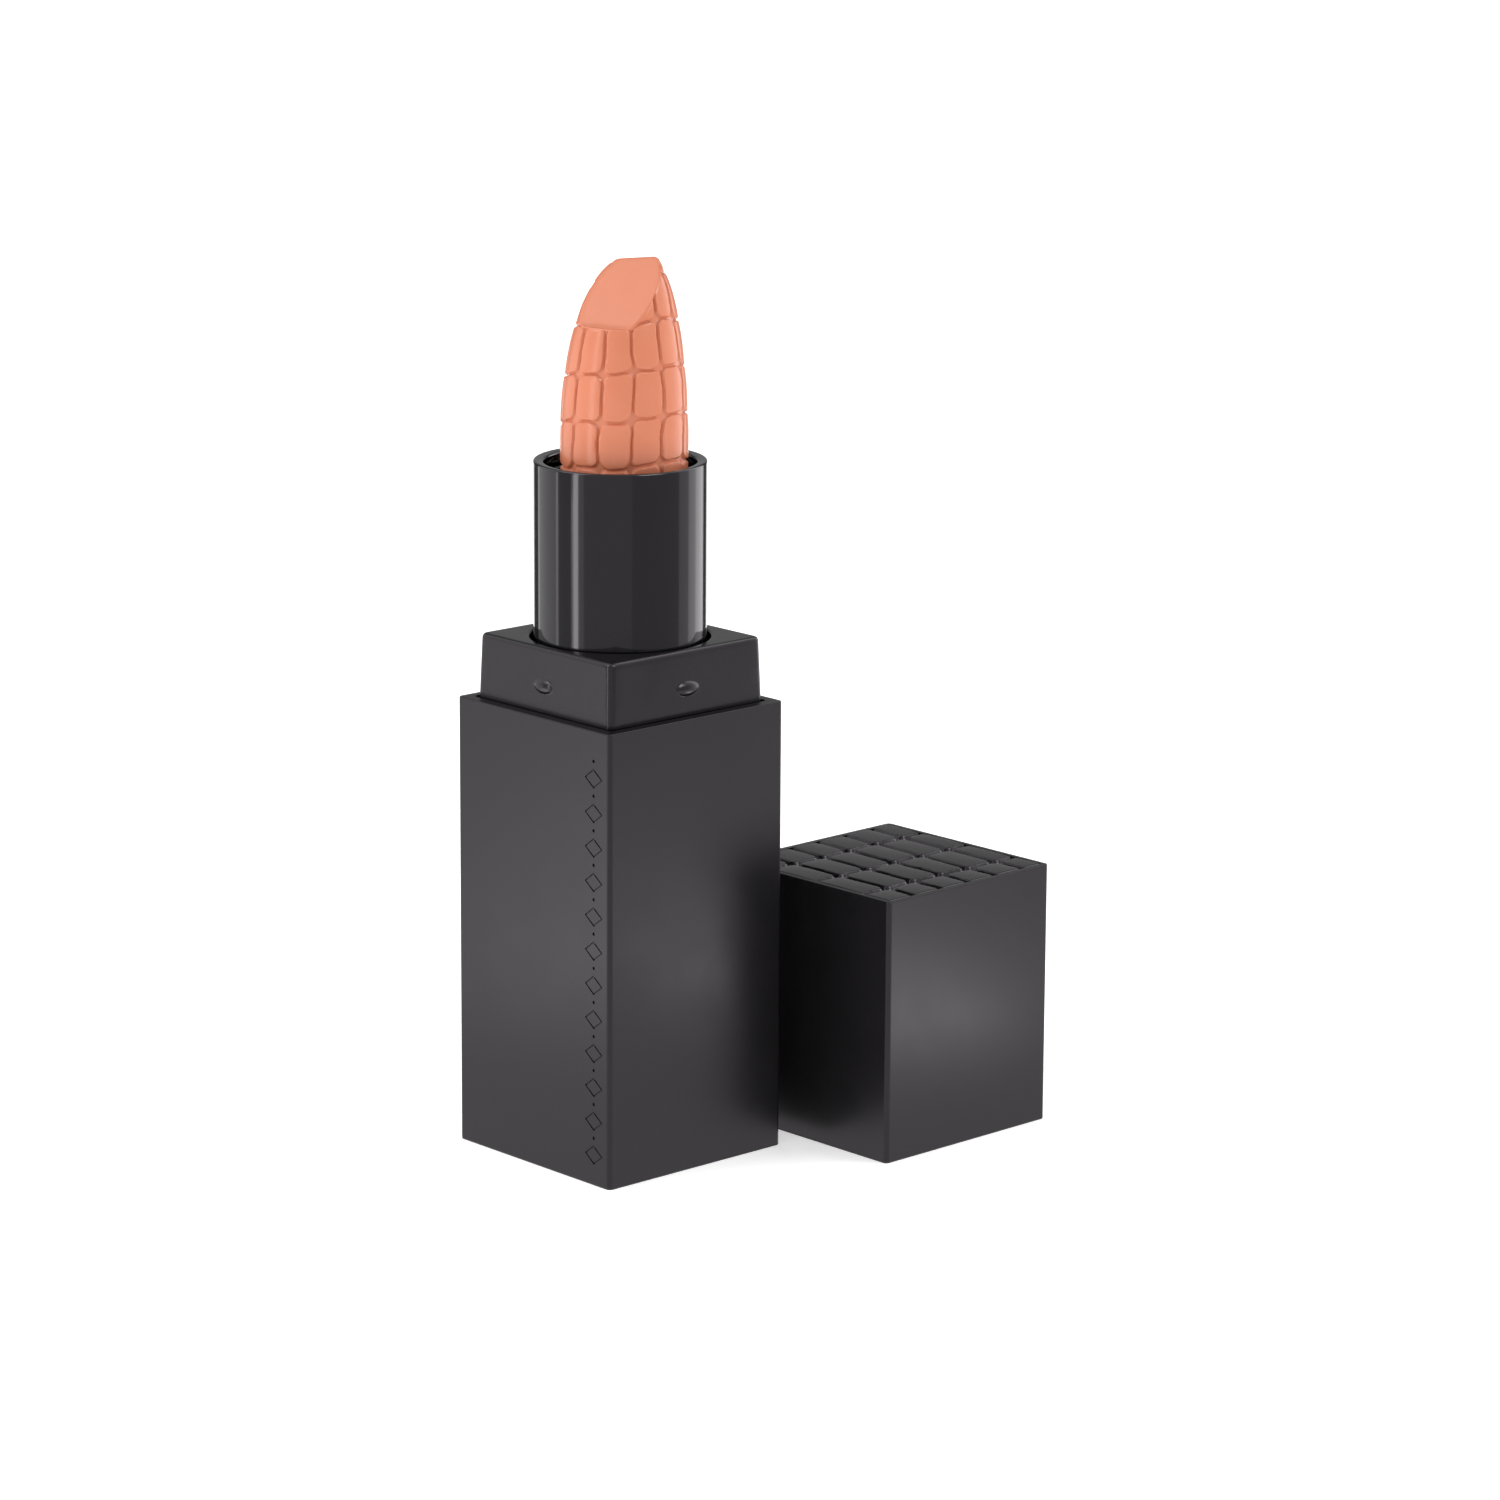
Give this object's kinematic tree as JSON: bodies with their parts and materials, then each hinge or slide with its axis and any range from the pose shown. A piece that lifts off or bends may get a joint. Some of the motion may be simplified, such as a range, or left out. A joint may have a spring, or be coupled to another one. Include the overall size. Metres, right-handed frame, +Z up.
{
  "type": "lipstick case",
  "caption": "Square twist-up lipstick case with a round inner tube, a slant-cut scale-patterned bullet fully raised, and its square cap standing beside it.",
  "frame": {"origin": "centre of the base's underside", "axes": "+Z up along the case and the tube's turning axis; the base's flat sides face +X, -X, +Y and -Y; the cap stands towards +Y"},
  "size_m": [0.033, 0.047, 0.086],
  "materials": {
    "satin_black": "soft satin black",
    "moulded_black": "semi-gloss moulded black",
    "gloss_black": "high-gloss black lacquer",
    "embossed_black": "embossed satin black",
    "inner_plastic": "moulded black",
    "sleeve_plastic": "natural moulded",
    "ring_rubber": "soft matte",
    "weight_steel": "plain turned",
    "label_film": "satin silver film",
    "peach_wax": "soft satin wax"
  },
  "bodies": {
    "base": {"base_shell": "satin_black", "collar": "moulded_black", "base_insert": "inner_plastic", "base_weight": "weight_steel", "shade_label": "label_film", "guide_tube": "inner_plastic", "friction_ring": "ring_rubber"},
    "tube": {"tube_shell": "gloss_black", "spiral_sleeve": "sleeve_plastic"},
    "carrier": {"carrier_cup": "inner_plastic", "bullet": "peach_wax"},
    "cap": {"cap_shell": "satin_black", "cap_liner": "inner_plastic", "cap_top_panel": "embossed_black"}
  },
  "joints": [
    {"name": "tube_turn", "type": "hinge", "parent": "base", "child": "tube", "pos_m": [0, 0, 0.0484], "axis": [0, 0, 1], "range_deg": [0, 450]},
    {"name": "bullet_rise", "type": "slide", "parent": "base", "child": "carrier", "axis": [0, 0, 1], "range_m": [-0.022, 0]},
    {"name": "cap_lift", "type": "slide", "parent": "base", "child": "cap", "axis": [0, 0, 1], "range_m": [0, 0.1]}
  ],
  "couplings": [
    {"joint": "bullet_rise", "follows": "tube_turn", "m_per_rad": -0.0028011}
  ]
}
